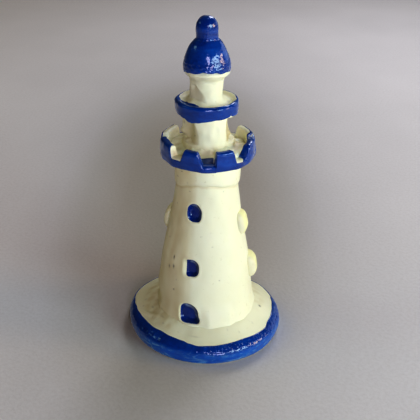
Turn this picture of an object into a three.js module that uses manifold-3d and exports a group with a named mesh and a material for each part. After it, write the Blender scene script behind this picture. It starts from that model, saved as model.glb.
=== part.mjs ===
// A miniature souvenir lighthouse: a stack of cast pieces with painted bands, hand-painted.
// Millimetres, +Z up. The origin is the centre of the underside, and the door faces -Y.
import * as THREE from "three";
import { mergeVertices } from "three/addons/utils/BufferGeometryUtils.js";
import Module from "manifold-3d";

const wasm = await Module();
wasm.setup();

// --- Driving dimensions ---------------------------------------------------------------------

// Heights of the joints between the stacked pieces, from the table up.
const Z = {
  towerFoot: 6.8,
  collarFoot: 40.1,
  galleryFoot: 45,
  galleryFlange: 45.8,
  drumFoot: 47.3,
  balconyFoot: 55.1,
  balconyFlange: 55.7,
  lanternFoot: 57.6,
  eaveFoot: 62.4,
  roofFoot: 64.3,
  finialFoot: 71,
  tip: 76,
};

const SEGMENTS = 36; // facets round a turned piece
const FIT_GAP = 0.15; // clearance all round where one piece sits in or round another
const SOCKET_SPARE = 0.2; // free depth under a spigot
const OVAL_STRETCH = 0.02; // the plinth is this share longer along its long axis, and shorter across
const OVAL_AZIMUTH = 63.5; // azimuth of the plinth's long axis

const PLINTH_BORE_RADIUS = 16.4; // inside of the painted band round the plinth
const COLLAR_BORE_RADIUS = 6.1; // inside of the collar round the tower's neck
const GALLERY_BORE_RADIUS = 8.5; // inside of the parapet at the gallery floor
const GALLERY_FLANGE_RADIUS = 9.4; // the ledge that carries the parapet
const BALCONY_BORE_RADIUS = 5.9; // inside of the balcony band
const BALCONY_FLANGE_RADIUS = 6.3; // the ledge that carries the balcony band

// Locating spigots: each is the top of one piece and enters the next piece up.
const SPIGOT = {
  plinth: { radius: 7, height: 2 },
  tower: { radius: 3, height: 1 },
  gallery: { radius: 2.6, height: 2 },
  drum: { radius: 2.4, height: 1.2 },
  balcony: { radius: 1.9, height: 1.6 },
  lantern: { radius: 1.7, height: 1 },
  eave: { radius: 2, height: 1.5 },
  roof: { radius: 1, height: 1.5 },
};

// Crenels cut through the parapet: azimuth of the middle and width at the top, in degrees.
const CRENELS = [
  { azimuth: 19, span: 23 },
  { azimuth: 58.5, span: 18 },
  { azimuth: 107, span: 19 },
  { azimuth: 162, span: 19 },
  { azimuth: 199, span: 19 },
  { azimuth: 236, span: 19 },
  { azimuth: 288, span: 17 },
  { azimuth: 335.5, span: 21 },
];
const CRENEL_FLOOR_Z = 46.7;
const CRENEL_SIDE_SLOPE = 0.25; // how far each side leans out for each millimetre up
const CRENEL_CORNER_RADIUS = 0.7;

// Round-headed recesses in the front of the tower, each with a painted panel on its floor.
const WINDOWS = [
  { name: "upper_window", foot: 31.8, height: 4.4, width: 2.9 },
  { name: "middle_window", foot: 18.5, height: 4.3, width: 2.7 },
  { name: "door", foot: 7.6, height: 4.6, width: 4.1 },
];
const WINDOW_AZIMUTH = 0;
const WINDOW_RECESS = 0.9; // from the tower's face to the painted panel
const PANEL_THICKNESS = 0.8;

// Raised window hoods on the tower's two sides.
const HOODS = [
  { name: "right_upper_hood", azimuth: 90, foot: 26.4, height: 6.2 },
  { name: "right_lower_hood", azimuth: 90, foot: 15.1, height: 7.2 },
  { name: "left_upper_hood", azimuth: 270, foot: 25.6, height: 6.2 },
];
const HOOD_WIDTH = 2.8;
const HOOD_STANDOFF = 1.3; // how far a hood stands out of the tower at its head
const HOOD_SEAT_DEPTH = 1; // how deep a hood sits in the tower

// Round-headed scoops out of the watch room and the lantern: the scoop is a vertical rod with a
// domed head whose axis stands `distance` from the lighthouse's axis.
const WATCH_NICHES = { azimuths: [325, 95, 210], radius: 2.9, distance: 6.6, foot: 48, head: 54.6 };
const LANTERN_NICHES = { azimuths: [335, 95, 215], radius: 2.2, distance: 5, foot: 58.6, head: 62 };

const CREAM = { color: 0xf0edcd, roughness: 0.42, metalness: 0 };
const BLUE = { color: 0x12409c, roughness: 0.22, metalness: 0 };

// --- Helpers --------------------------------------------------------------------------------

const radians = THREE.MathUtils.degToRad;

// A solid that manifold-3d can cut and join, from a closed geometry.
function solidOf(geometry) {
  const bare = geometry.clone();
  bare.deleteAttribute("normal");
  bare.deleteAttribute("uv");
  const merged = mergeVertices(bare, 1e-4);
  const vertProperties = merged.attributes.position.array;
  const triVerts = new Uint32Array(merged.index.array);
  return new wasm.Manifold(new wasm.Mesh({ numProp: 3, vertProperties, triVerts }));
}

function geometryOf(solid) {
  const mesh = solid.getMesh();
  const geometry = new THREE.BufferGeometry();
  geometry.setAttribute("position", new THREE.BufferAttribute(mesh.vertProperties, 3));
  geometry.setIndex(new THREE.BufferAttribute(mesh.triVerts, 1));
  geometry.computeVertexNormals();
  return geometry;
}

function cut(geometry, cutters) {
  let solid = solidOf(geometry);
  for (const cutter of cutters) {
    solid = solid.subtract(solidOf(cutter));
  }
  return geometryOf(solid);
}

// A solid of revolution about +Z from [radius, height] points, listed from the foot up.
function turned(outline) {
  const points = outline.map(([radius, height]) => new THREE.Vector2(radius, height));
  return new THREE.LatheGeometry(points, SEGMENTS).rotateX(Math.PI / 2);
}

// A closed ring of revolution: its outline goes up the outside and down the inside.
function turnedRing(outline) {
  return turned([...outline, outline[0]]);
}

// The blind hole in a piece's foot, cut to take the spigot of the piece below.
function socketPoints(spigot, z) {
  const radius = spigot.radius + FIT_GAP;
  const top = z + spigot.height + SOCKET_SPARE;
  return [
    [0, top],
    [radius, top],
    [radius, z],
  ];
}

function spigotPoints(spigot, z) {
  return [
    [spigot.radius, z],
    [spigot.radius, z + spigot.height],
    [0, z + spigot.height],
  ];
}

// Turns a geometry from azimuth 0, where it faces -Y, to the azimuth given in degrees.
function faceAzimuth(geometry, azimuth) {
  return geometry.rotateZ(radians(azimuth));
}

// The plinth and its band are very slightly oval.
function oval(geometry) {
  return geometry
    .rotateZ(radians(-OVAL_AZIMUTH))
    .scale(1 - OVAL_STRETCH, 1 + OVAL_STRETCH, 1)
    .rotateZ(radians(OVAL_AZIMUTH));
}

// A round-headed opening's outline, centred on x = 0 with its foot at y = 0.
function archShape(width, height, margin = 0) {
  const half = width / 2 + margin;
  const spring = height - width / 2;
  const shape = new THREE.Shape();
  shape.moveTo(-half, -margin);
  shape.lineTo(half, -margin);
  shape.lineTo(half, spring);
  shape.absarc(0, spring, half, 0, Math.PI, false);
  shape.closePath();
  return shape;
}

function extruded(shape, depth, curveSegments = 5) {
  return new THREE.ExtrudeGeometry(shape, { depth, bevelEnabled: false, curveSegments });
}

// Stands an outline drawn in x and y upright, facing -Y, with its depth running from y = back
// towards the viewer.
function upright(geometry, back) {
  return geometry.rotateX(Math.PI / 2).translate(0, back, 0);
}

// --- The tower's outline, which the windows and hoods follow ---------------------------------

const TOWER_WALL = [
  [12.4, Z.towerFoot],
  [11.5, 9.4],
  [11, 12.4],
  [10.4, 17.6],
  [9.5, 23.1],
  [7.7, 33.6],
  [7, 37.9],
  [6.9, Z.collarFoot],
];

function towerRadius(z) {
  for (let i = 1; i < TOWER_WALL.length; i++) {
    const [lowRadius, low] = TOWER_WALL[i - 1];
    const [highRadius, high] = TOWER_WALL[i];
    if (z <= high) {
      return THREE.MathUtils.mapLinear(z, low, high, lowRadius, highRadius);
    }
  }
  return TOWER_WALL.at(-1)[0];
}

// The wall's lean over a window's or hood's height, and its radius at their foot.
function wallUnder({ foot, height }) {
  const radius = towerRadius(foot);
  const lean = Math.atan2(radius - towerRadius(foot + height), height);
  return { radius, lean };
}

// Lays a piece that was made upright at y = 0 against the tower's leaning wall.
function onWall(geometry, place, azimuth) {
  const { radius, lean } = wallUnder(place);
  geometry.rotateX(-lean).translate(0, -radius, place.foot);
  return faceAzimuth(geometry, azimuth);
}

// --- Windows and hoods -----------------------------------------------------------------------

function windowPocket(opening) {
  const depth = WINDOW_RECESS + PANEL_THICKNESS;
  const clear = 2;
  const pocket = upright(extruded(archShape(opening.width, opening.height), depth + clear), depth);
  return onWall(pocket, opening, WINDOW_AZIMUTH);
}

function windowPanel(opening) {
  const shape = archShape(opening.width, opening.height, -FIT_GAP);
  const panel = upright(extruded(shape, PANEL_THICKNESS), WINDOW_RECESS + PANEL_THICKNESS);
  return onWall(panel, opening, WINDOW_AZIMUTH);
}

// A hood's side outline in x (outwards) and y (up): a blunt overhanging head above a long taper.
function hoodShape(height, margin = 0) {
  const back = -HOOD_SEAT_DEPTH - margin;
  const shape = new THREE.Shape();
  shape.moveTo(back, -margin);
  shape.lineTo(0.25 + margin, -margin);
  shape.lineTo(HOOD_STANDOFF * 0.75 + margin, height * 0.4);
  shape.lineTo(HOOD_STANDOFF + margin, height * 0.75);
  shape.lineTo(HOOD_STANDOFF * 0.8 + margin, height + margin);
  shape.lineTo(back, height + margin);
  shape.closePath();
  return shape;
}

// Draws the side outline across the hood's width, then turns it to face -Y.
function hoodBlock(height, width, margin = 0) {
  return extruded(hoodShape(height, margin), width)
    .translate(0, 0, -width / 2)
    .rotateX(Math.PI / 2)
    .rotateZ(-Math.PI / 2);
}

function hoodPocket(hood) {
  const pocket = hoodBlock(hood.height, HOOD_WIDTH + 2 * FIT_GAP, FIT_GAP);
  return onWall(pocket, hood, hood.azimuth);
}

function hoodPiece(hood) {
  return onWall(hoodBlock(hood.height, HOOD_WIDTH), hood, hood.azimuth);
}

// --- Scoops and crenels ----------------------------------------------------------------------

// A vertical rod with a domed head, standing at each niche's azimuth.
function nicheCutters({ azimuths, radius, distance, foot, head }) {
  const domeSteps = 4;
  const spring = head - radius;
  const dome = Array.from({ length: domeSteps }, (_, i) => {
    const angle = (i * Math.PI) / 2 / domeSteps;
    return [radius * Math.cos(angle), spring + radius * Math.sin(angle)];
  });
  return azimuths.map((azimuth) => {
    const rod = turned([[0, foot], [radius, foot], ...dome, [0, head]]);
    return faceAzimuth(rod.translate(0, -distance, 0), azimuth);
  });
}

// A wedge that widens upwards with rounded lower corners, passing out through the parapet.
function crenelCutter({ azimuth, span }) {
  const topZ = 51;
  const wallRadius = 10;
  const wallTopZ = 49.7;
  const floorHalf =
    wallRadius * Math.sin(radians(span / 2)) - CRENEL_SIDE_SLOPE * (wallTopZ - CRENEL_FLOOR_Z);
  const topHalf = floorHalf + CRENEL_SIDE_SLOPE * (topZ - CRENEL_FLOOR_Z);
  const corner = Math.min(CRENEL_CORNER_RADIUS, floorHalf * 0.9);
  const shape = new THREE.Shape();
  shape.moveTo(-floorHalf + corner, CRENEL_FLOOR_Z);
  shape.lineTo(floorHalf - corner, CRENEL_FLOOR_Z);
  shape.quadraticCurveTo(floorHalf, CRENEL_FLOOR_Z, floorHalf + 0.1, CRENEL_FLOOR_Z + corner);
  shape.lineTo(topHalf, topZ);
  shape.lineTo(-topHalf, topZ);
  shape.lineTo(-floorHalf - 0.1, CRENEL_FLOOR_Z + corner);
  shape.quadraticCurveTo(-floorHalf, CRENEL_FLOOR_Z, -floorHalf + corner, CRENEL_FLOOR_Z);
  const length = 6;
  const innerEnd = 7;
  return faceAzimuth(upright(extruded(shape, length, 3), -innerEnd), azimuth);
}

// --- Pieces ----------------------------------------------------------------------------------

function plinth() {
  const wall = PLINTH_BORE_RADIUS - FIT_GAP;
  return oval(
    turned([
      [0, 0],
      [wall, 0],
      [wall, 4.7],
      [15.4, 5.3],
      [14.2, 6],
      [13, 6.6],
      [12.6, Z.towerFoot],
      ...spigotPoints(SPIGOT.plinth, Z.towerFoot),
    ]),
  );
}

function plinthBand() {
  return oval(
    turnedRing([
      [PLINTH_BORE_RADIUS, 0],
      [17.7, 0],
      [18.15, 0.9],
      [18.3, 2.4],
      [18, 3.4],
      [17.4, 4.15],
      [PLINTH_BORE_RADIUS, 4.6],
    ]),
  );
}

function tower() {
  const neck = COLLAR_BORE_RADIUS - FIT_GAP;
  const body = turned([
    // the plinth is a little oval, and so is its spigot: the socket clears its long axis
    ...socketPoints({ ...SPIGOT.plinth, radius: SPIGOT.plinth.radius * (1 + OVAL_STRETCH) }, Z.towerFoot),
    ...TOWER_WALL,
    [neck, Z.collarFoot],
    [neck, Z.galleryFoot],
    ...spigotPoints(SPIGOT.tower, Z.galleryFoot),
  ]);
  return cut(body, [...WINDOWS.map(windowPocket), ...HOODS.map(hoodPocket)]);
}

function towerCollar() {
  return turnedRing([
    [COLLAR_BORE_RADIUS, Z.collarFoot],
    [7.2, Z.collarFoot],
    [7.45, 40.6],
    [7.45, Z.galleryFoot],
    [COLLAR_BORE_RADIUS, Z.galleryFoot],
  ]);
}

function galleryDeck() {
  const rebate = GALLERY_BORE_RADIUS - FIT_GAP;
  return turned([
    ...socketPoints(SPIGOT.tower, Z.galleryFoot),
    [GALLERY_FLANGE_RADIUS, Z.galleryFoot],
    [GALLERY_FLANGE_RADIUS, Z.galleryFlange],
    [rebate, Z.galleryFlange],
    [rebate, 46.5],
    [7, 46.6],
    [6, Z.drumFoot],
    ...spigotPoints(SPIGOT.gallery, Z.drumFoot),
  ]);
}

function parapet() {
  const wall = turnedRing([
    [GALLERY_BORE_RADIUS, Z.galleryFlange],
    [GALLERY_FLANGE_RADIUS + FIT_GAP, Z.galleryFlange],
    [GALLERY_FLANGE_RADIUS + FIT_GAP, Z.galleryFoot],
    [10.2, Z.galleryFoot],
    [10.5, 46.6],
    [10.45, 49.2],
    [10.1, 49.65],
    [9.4, 49.7],
    [8.95, 49.2],
    [8.7, 47.2],
  ]);
  return cut(wall, CRENELS.map(crenelCutter));
}

function watchRoom() {
  const drum = turned([
    ...socketPoints(SPIGOT.gallery, Z.drumFoot),
    [5.7, Z.drumFoot],
    [5.3, 48.4],
    [5.2, 51],
    [4.9, 53],
    [4.95, Z.balconyFoot],
    ...spigotPoints(SPIGOT.drum, Z.balconyFoot),
  ]);
  return cut(drum, nicheCutters(WATCH_NICHES));
}

function balconyDeck() {
  const rebate = BALCONY_BORE_RADIUS - FIT_GAP;
  return turned([
    ...socketPoints(SPIGOT.drum, Z.balconyFoot),
    [BALCONY_FLANGE_RADIUS, Z.balconyFoot],
    [BALCONY_FLANGE_RADIUS, Z.balconyFlange],
    [rebate, Z.balconyFlange],
    [rebate, 57.35],
    [5, Z.lanternFoot],
    ...spigotPoints(SPIGOT.balcony, Z.lanternFoot),
  ]);
}

function balconyBand() {
  return turnedRing([
    [BALCONY_BORE_RADIUS, Z.balconyFlange],
    [BALCONY_FLANGE_RADIUS + FIT_GAP, Z.balconyFlange],
    [BALCONY_FLANGE_RADIUS + FIT_GAP, Z.balconyFoot],
    [6.7, 55.15],
    [6.9, 56.2],
    [6.9, 57.7],
    [6.6, 58.1],
    [6.1, 58],
    [BALCONY_BORE_RADIUS, 57.6],
  ]);
}

function lanternRoom() {
  const room = turned([
    ...socketPoints(SPIGOT.balcony, Z.lanternFoot),
    [4.7, Z.lanternFoot],
    [4, 58.3],
    [3.7, 59.2],
    [3.65, Z.eaveFoot],
    ...spigotPoints(SPIGOT.lantern, Z.eaveFoot),
  ]);
  return cut(room, nicheCutters(LANTERN_NICHES));
}

function eave() {
  return turned([
    ...socketPoints(SPIGOT.lantern, Z.eaveFoot),
    [3.65, Z.eaveFoot],
    [4.45, 63.5],
    [4.95, Z.roofFoot],
    ...spigotPoints(SPIGOT.eave, Z.roofFoot),
  ]);
}

function roof() {
  return turned([
    ...socketPoints(SPIGOT.eave, Z.roofFoot),
    [4.95, Z.roofFoot],
    [5.15, 65],
    [4.85, 66.6],
    [4.6, 67.5],
    [4.05, 68.7],
    [3.35, 70],
    [2.6, 70.8],
    [2.3, Z.finialFoot],
    ...spigotPoints(SPIGOT.roof, Z.finialFoot),
  ]);
}

function finial() {
  return turned([
    ...socketPoints(SPIGOT.roof, Z.finialFoot),
    [2.2, Z.finialFoot],
    [2.25, 71.8],
    [2.28, 73.4],
    [2.07, 74.4],
    [1.5, 75.25],
    [0.8, 75.8],
    [0, Z.tip],
  ]);
}

// --- Assembly --------------------------------------------------------------------------------

const lighthouse = new THREE.Group();

function addPiece(name, geometry, look) {
  const mesh = new THREE.Mesh(geometry, new THREE.MeshStandardMaterial(look));
  mesh.name = name;
  lighthouse.add(mesh);
}

addPiece("plinth", plinth(), CREAM);
addPiece("plinth_band", plinthBand(), BLUE);
addPiece("tower", tower(), CREAM);
addPiece("tower_collar", towerCollar(), CREAM);
addPiece("gallery_deck", galleryDeck(), CREAM);
addPiece("parapet", parapet(), BLUE);
addPiece("watch_room", watchRoom(), CREAM);
addPiece("balcony_deck", balconyDeck(), CREAM);
addPiece("balcony_band", balconyBand(), BLUE);
addPiece("lantern_room", lanternRoom(), CREAM);
addPiece("eave", eave(), CREAM);
addPiece("roof", roof(), BLUE);
addPiece("finial", finial(), BLUE);
for (const opening of WINDOWS) {
  addPiece(opening.name, windowPanel(opening), BLUE);
}
for (const hood of HOODS) {
  addPiece(hood.name, hoodPiece(hood), CREAM);
}

export default lighthouse;
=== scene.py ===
"""The looks of the miniature lighthouse: a hand-cast, hand-painted cream and blue figurine.

The figurine's lengths are in millimetres until a mesh is made, and the stage's and the materials'
are in metres. An azimuth of 0 faces the door (-Y), and it grows towards +X. Most castings are turned
surfaces, pushed in and out by a relief, and every coat of enamel is its own shell over a casting.
"""
import math
from typing import NamedTuple

import bpy
import numpy as np
from mathutils import Matrix, Vector


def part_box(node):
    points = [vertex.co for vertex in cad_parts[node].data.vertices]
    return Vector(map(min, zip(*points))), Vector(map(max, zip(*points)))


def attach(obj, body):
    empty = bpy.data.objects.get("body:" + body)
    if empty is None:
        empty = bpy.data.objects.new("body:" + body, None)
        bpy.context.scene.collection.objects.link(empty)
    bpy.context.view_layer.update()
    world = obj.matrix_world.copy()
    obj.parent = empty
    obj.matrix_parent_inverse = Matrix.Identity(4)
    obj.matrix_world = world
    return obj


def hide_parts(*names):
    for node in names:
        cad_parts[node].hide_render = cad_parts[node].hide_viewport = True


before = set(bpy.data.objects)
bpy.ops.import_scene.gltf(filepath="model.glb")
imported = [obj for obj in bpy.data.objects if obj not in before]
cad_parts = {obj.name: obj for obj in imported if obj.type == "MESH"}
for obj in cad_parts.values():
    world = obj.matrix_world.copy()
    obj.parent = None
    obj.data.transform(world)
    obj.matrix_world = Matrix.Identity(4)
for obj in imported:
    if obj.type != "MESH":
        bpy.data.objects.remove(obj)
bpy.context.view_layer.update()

MM = 0.001
TURN = 2 * np.pi


# --- Driving heights, read from the frame ---


def foot(node):
    """Height of a CAD node's underside, in millimetres."""
    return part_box(node)[0].z / MM


TOWER_FOOT = foot("tower")
COLLAR_FOOT = foot("tower_collar")
GALLERY_FOOT = foot("gallery_deck")
DRUM_FOOT = foot("watch_room")
BALCONY_FOOT = foot("balcony_deck")
LANTERN_FOOT = foot("lantern_room")
EAVE_FOOT = foot("eave")
FINIAL_FOOT = foot("finial")
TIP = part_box("finial")[1].z / MM

VIEW_AZIMUTH = 18.5  # the photograph looks from this far round from the door, in degrees
OVAL_STRETCH = 0.02  # the plinth is this share longer along its long axis, and shorter across
OVAL_AZIMUTH = math.radians(63.5)

# The casting is a little crooked: how far each height sits off the axis, to the view's right.
CROOKED = ((0, 30, 41, 50, 54, 58, 64, 72, 76), (0, 0.1, 0.32, 0.37, 0.12, 0, 0, -0.12, -0.16))


# --- Mathematics of hand-made shapes ---


def smooth(x):
    """0 below 0, 1 above 1 and an S-curve between."""
    t = np.clip(x, 0.0, 1.0)
    return t * t * (3 - 2 * t)


def turn_to(theta, azimuth):
    """The angle from an azimuth in degrees to theta, wrapped to half a turn either way."""
    return (theta - math.radians(azimuth) + np.pi) % TURN - np.pi


def turn_from_view(theta, azimuth):
    """The same, for an azimuth counted from the photograph's view."""
    return turn_to(theta, azimuth + VIEW_AZIMUTH)


def bell(x, width):
    """1 at 0, falling smoothly away over `width`."""
    return np.exp(-((x / width) ** 2))


def lumps(seed, theta, height, radius, size, amount, waves=16):
    """Soft, seamless unevenness over a turned surface, with features about `size` wide."""
    rng = np.random.default_rng(seed)
    total = 0.0
    for _ in range(waves):
        slant = rng.uniform(0, np.pi)
        wavenumber = TURN / (2 * size * rng.uniform(0.7, 1.5))
        around = round(wavenumber * math.cos(slant) * radius)
        up = wavenumber * math.sin(slant)
        total = total + np.cos(around * theta + up * height + rng.uniform(0, TURN))
    return amount * total / math.sqrt(waves / 2)


def brushed(seed, theta, height, radius, amount):
    """Ridges that a loaded brush leaves as it is drawn round a surface."""
    rng = np.random.default_rng(seed)
    total = 0.0
    waves = 14
    for _ in range(waves):
        up = TURN / rng.uniform(0.45, 1.3)
        around = round(radius * TURN / rng.uniform(5, 16)) * rng.choice([-1, 1])
        total = total + np.cos(around * theta + up * height + rng.uniform(0, TURN))
    strength = 0.6 + 0.4 * lumps(seed + 1, theta, height, radius, 2.0, 1.0)
    return amount * strength * total / math.sqrt(waves / 2)


def brush_marks(seed, radius, ridge, size, amount):
    """The relief of a coat of enamel: ridges from the brush, and soft unevenness."""

    def marks(s, theta):
        return brushed(seed, theta, s, radius, ridge) + lumps(seed + 1, theta, s, radius, size, amount)

    return marks


def brush_line(seed, theta, amount, coarse=3, fine=26):
    """How far a hand-painted edge strays up and down, round the object."""
    rng = np.random.default_rng(seed)
    total = 0.0
    for k in range(coarse, fine):
        weight = (coarse / k) ** 0.9
        total = total + weight * rng.normal() * np.cos(k * theta + rng.uniform(0, TURN))
    return amount * total


def run_along(line):
    """Distance along a line of points, from its start."""
    return np.concatenate([[0], np.cumsum(np.linalg.norm(np.diff(line, axis=0), axis=1))])


def curve_through(points, step=0.12):
    """A smooth line through the points (a centripetal Catmull-Rom spline), evenly spaced."""
    p = np.array(points, float)
    p = np.vstack([2 * p[0] - p[1], p, 2 * p[-1] - p[-2]])
    line = []
    for i in range(1, len(p) - 2):
        knots = np.cumsum([0.0] + [np.linalg.norm(p[i + k] - p[i + k - 1]) ** 0.5 for k in range(3)])
        t = np.linspace(knots[1], knots[2], 24, endpoint=False)[:, None]

        def mix(a, b, ta, tb):
            return (tb - t) / (tb - ta) * a + (t - ta) / (tb - ta) * b

        first = mix(p[i - 1], p[i], knots[0], knots[1])
        second = mix(p[i], p[i + 1], knots[1], knots[2])
        third = mix(p[i + 1], p[i + 2], knots[2], knots[3])
        low = mix(first, second, knots[0], knots[2])
        high = mix(second, third, knots[1], knots[3])
        line.append(mix(low, high, knots[1], knots[2]))
    line.append(p[-2][None])
    line = np.vstack(line)
    run = run_along(line)
    even = np.linspace(0, run[-1], max(2, int(run[-1] / step)))
    return np.column_stack([np.interp(even, run, line[:, k]) for k in range(2)])


def around_edge(theta, points):
    """A value that changes round the object, eased between (azimuth from the view, value) points."""
    azimuths = np.array([p[0] for p in points], float)
    values = np.array([p[1] for p in points], float)
    azimuths = np.concatenate([azimuths, azimuths[:1] + 360])
    values = np.concatenate([values, values[:1]])
    at = (np.degrees(theta) - VIEW_AZIMUTH - azimuths[0]) % 360 + azimuths[0]
    k = np.clip(np.searchsorted(azimuths, at, side="right") - 1, 0, len(azimuths) - 2)
    share = smooth((at - azimuths[k]) / (azimuths[k + 1] - azimuths[k]))
    return values[k] + (values[k + 1] - values[k]) * share


def thetas(count, front=0.3, facing=VIEW_AZIMUTH):
    """Angles round a full turn, packed closer (by the share `front`) round the azimuth faced."""
    t = np.arange(count) * TURN / count
    return t - front * np.sin(t) + math.radians(facing)


# --- Surfaces ---


class Turned:
    """A turned surface: an outline from foot to top, with a relief and an oval stretch."""

    def __init__(self, outline, relief=None, stretch=0.0):
        self.line = np.maximum(curve_through(outline), 0)  # never past the axis or under the table
        self.run = run_along(self.line)
        along = np.gradient(self.line, axis=0)
        along /= np.linalg.norm(along, axis=1)[:, None]
        self.out = np.column_stack([along[:, 1], -along[:, 0]])
        self.relief = relief
        self.stretch = stretch

    @property
    def end(self):
        return self.run[-1]

    def at_height(self, height):
        """The run along an outline that only climbs, at a height."""
        return np.interp(height, self.line[:, 1], self.run)

    def near(self, radius, height):
        """The run along the outline of its point nearest to a radius and height."""
        gap = np.hypot(self.line[:, 0] - radius, self.line[:, 1] - height)
        return self.run[int(np.argmin(gap))]

    def __call__(self, s, theta):
        radius = np.interp(s, self.run, self.line[:, 0])
        height = np.interp(s, self.run, self.line[:, 1])
        if self.relief is not None:
            lift = self.relief(theta, radius, height)
            fade = smooth(radius / 1.5)
            radius = radius + fade * lift * np.interp(s, self.run, self.out[:, 0])
            height = height + lift * np.interp(s, self.run, self.out[:, 1])
        if self.stretch:
            radius = radius * (1 + self.stretch * np.cos(2 * (theta - OVAL_AZIMUTH)))
        return place(radius, theta, height)


def place(radius, theta, height):
    """Points from radius, azimuth in radians and height, with the casting's crookedness."""
    radius, theta, height = np.broadcast_arrays(radius, theta, height)
    aside = np.interp(height, *CROOKED)
    right = math.radians(VIEW_AZIMUTH)
    x = radius * np.sin(theta) + aside * math.cos(right)
    y = -radius * np.cos(theta) + aside * math.sin(right)
    return np.stack([x, y, height], axis=-1)


def azimuth_of(points):
    return np.arctan2(points[..., 0], -points[..., 1])


def radius_of(points):
    return np.hypot(points[..., 0], points[..., 1])


def outward(surface, s, theta):
    """Unit normals of a surface, by stepping a little along it and round it."""
    step = 0.02
    along = surface(s + step, theta) - surface(s - step, theta)
    around = surface(s, theta + step / 8) - surface(s, theta - step / 8)
    normal = np.cross(around, along)
    return normal / np.maximum(np.linalg.norm(normal, axis=-1, keepdims=True), 1e-12)


# --- Meshes ---


def finish_mesh(name, points, quads, triangles=(), tones=None):
    """A smooth-shaded object from points in millimetres. tones are named values per point."""
    faces = [np.asarray(quads, np.int32).reshape(-1, 4), np.asarray(triangles, np.int32).reshape(-1, 3)]
    loops = np.concatenate([f.ravel() for f in faces])
    sizes = np.concatenate([np.full(len(f), f.shape[1], np.int32) for f in faces])
    starts = np.concatenate([[0], np.cumsum(sizes)[:-1]]).astype(np.int32)
    mesh = bpy.data.meshes.new(name)
    mesh.vertices.add(len(points))
    mesh.vertices.foreach_set("co", (np.asarray(points) * MM).astype(np.float32).ravel())
    mesh.loops.add(len(loops))
    mesh.loops.foreach_set("vertex_index", loops)
    mesh.polygons.add(len(sizes))
    mesh.polygons.foreach_set("loop_start", starts)
    mesh.polygons.foreach_set("loop_total", sizes)
    mesh.update(calc_edges=True)
    mesh.polygons.foreach_set("use_smooth", np.ones(len(sizes), bool))
    for tone, values in (tones or {}).items():
        attribute = mesh.attributes.new(tone, "FLOAT", "POINT")
        attribute.data.foreach_set("value", np.asarray(values, np.float32).ravel())
    mesh.validate()
    piece = bpy.data.objects.new(name, mesh)
    bpy.context.scene.collection.objects.link(piece)
    return piece


def grid_quads(rows, columns, close_rows=False):
    """Quads of a grid whose columns wrap round, and whose rows do too if they close."""
    index = np.arange(rows * columns).reshape(rows, columns)
    upper = np.roll(index, -1, axis=0) if close_rows else index[1:]
    lower = index if close_rows else index[:-1]
    return np.stack(
        [lower, np.roll(lower, -1, 1), np.roll(upper, -1, 1), upper], axis=-1
    ).reshape(-1, 4)


def solid_from_rows(name, rows, tones=None):
    """A closed body: a stack of rings of points, each end closed by a point at its middle."""
    count, columns = rows.shape[:2]
    points = np.vstack([rows.reshape(-1, 3), rows[0].mean(0), rows[-1].mean(0)])
    ring = np.arange(columns)
    after = np.roll(ring, -1)
    first = np.column_stack([np.full(columns, count * columns), after, ring])
    top = (count - 1) * columns
    last = np.column_stack([np.full(columns, count * columns + 1), top + ring, top + after])
    if tones:
        tones = {k: np.concatenate([v.ravel(), [v[0].mean(), v[-1].mean()]]) for k, v in tones.items()}
    return finish_mesh(name, points, grid_quads(count, columns), np.vstack([first, last]), tones)


def ring_from_rows(name, rows, tones=None):
    """A closed ring: loops of points round the axis, the last joined to the first."""
    quads = grid_quads(*rows.shape[:2], close_rows=True)
    return finish_mesh(name, rows.reshape(-1, 3), quads, tones=tones)


def casting(name, surface, around, rows, tones_at=None):
    """A closed solid of a whole surface. tones_at gives the vertex tones at its points."""
    s = np.linspace(0, surface.end, rows)[:, None]
    points = surface(s, around[None, :])
    return solid_from_rows(name, points, tones_at(points) if tones_at else None)


LIP = 0.22  # how far in from its edges a coat of enamel is rounded
SUNK = 0.06  # how far below the casting its edges start
COAT_BACK = 0.2  # how deep in the casting its hidden side lies
EVENLY = 0.25  # share of a coat's rows spread evenly; the rest crowd towards its edges


def coat(name, surface, around, start, stop, thickness, rows, ridges, tones_at=None, sag=None):
    """A coat of enamel over a casting, with soft lips. start and stop are runs, one per azimuth."""
    theta = around[None, :]
    even = np.linspace(0, 1, rows)[:, None]
    eased = 0.5 - 0.5 * np.cos(np.pi * even)
    s = start + (stop - start) * ((1 - EVENLY) * eased + EVENLY * even)
    inset = np.minimum(s - start, stop - s) / LIP
    rounding = np.sqrt(np.clip(1 - (1 - np.clip(inset, 0, 1)) ** 2, 0, 1))
    lift = (thickness + SUNK) * rounding - SUNK + ridges(s, theta) * smooth(inset / 2)
    outer = surface(s, theta) + outward(surface, s, theta) * lift[..., None]
    if sag is not None:
        outer[..., 2] -= sag(s, theta)
    back_rows = 6
    back = np.linspace(1, 0, back_rows + 2)[1:-1, None]
    s_back = start + (stop - start) * back
    inner = surface(s_back, theta) - outward(surface, s_back, theta) * COAT_BACK
    points = np.concatenate([outer, inner])
    return ring_from_rows(name, points, tones_at(points) if tones_at else None)


# --- Outlines, as [radius, height] from the foot up ---

PLINTH_OUTLINE = [
    (0, 0), (8, 0), (16, 0), (17.1, 0.02), (17.75, 0.4), (18.15, 1.2), (18.3, 2.2), (18.2, 3.1),
    (17.75, 3.85), (17, 4.4), (16, 4.85), (14.6, 5.6), (13.4, 6.35), (12.5, TOWER_FOOT),
    (11.6, TOWER_FOOT + 0.25), (6, TOWER_FOOT + 0.3), (0, TOWER_FOOT + 0.3),
]
TOWER_OUTLINE = [
    (12.6, TOWER_FOOT - 0.9), (12.4, TOWER_FOOT), (12.1, 7.8), (11.65, 9.6), (11.2, 12.2),
    (10.52, 17.6), (9.63, 23.1), (8.68, 28.2), (7.7, 33.6), (7.08, 37.9), (6.85, 41), (6.8, 44.9),
]


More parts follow.
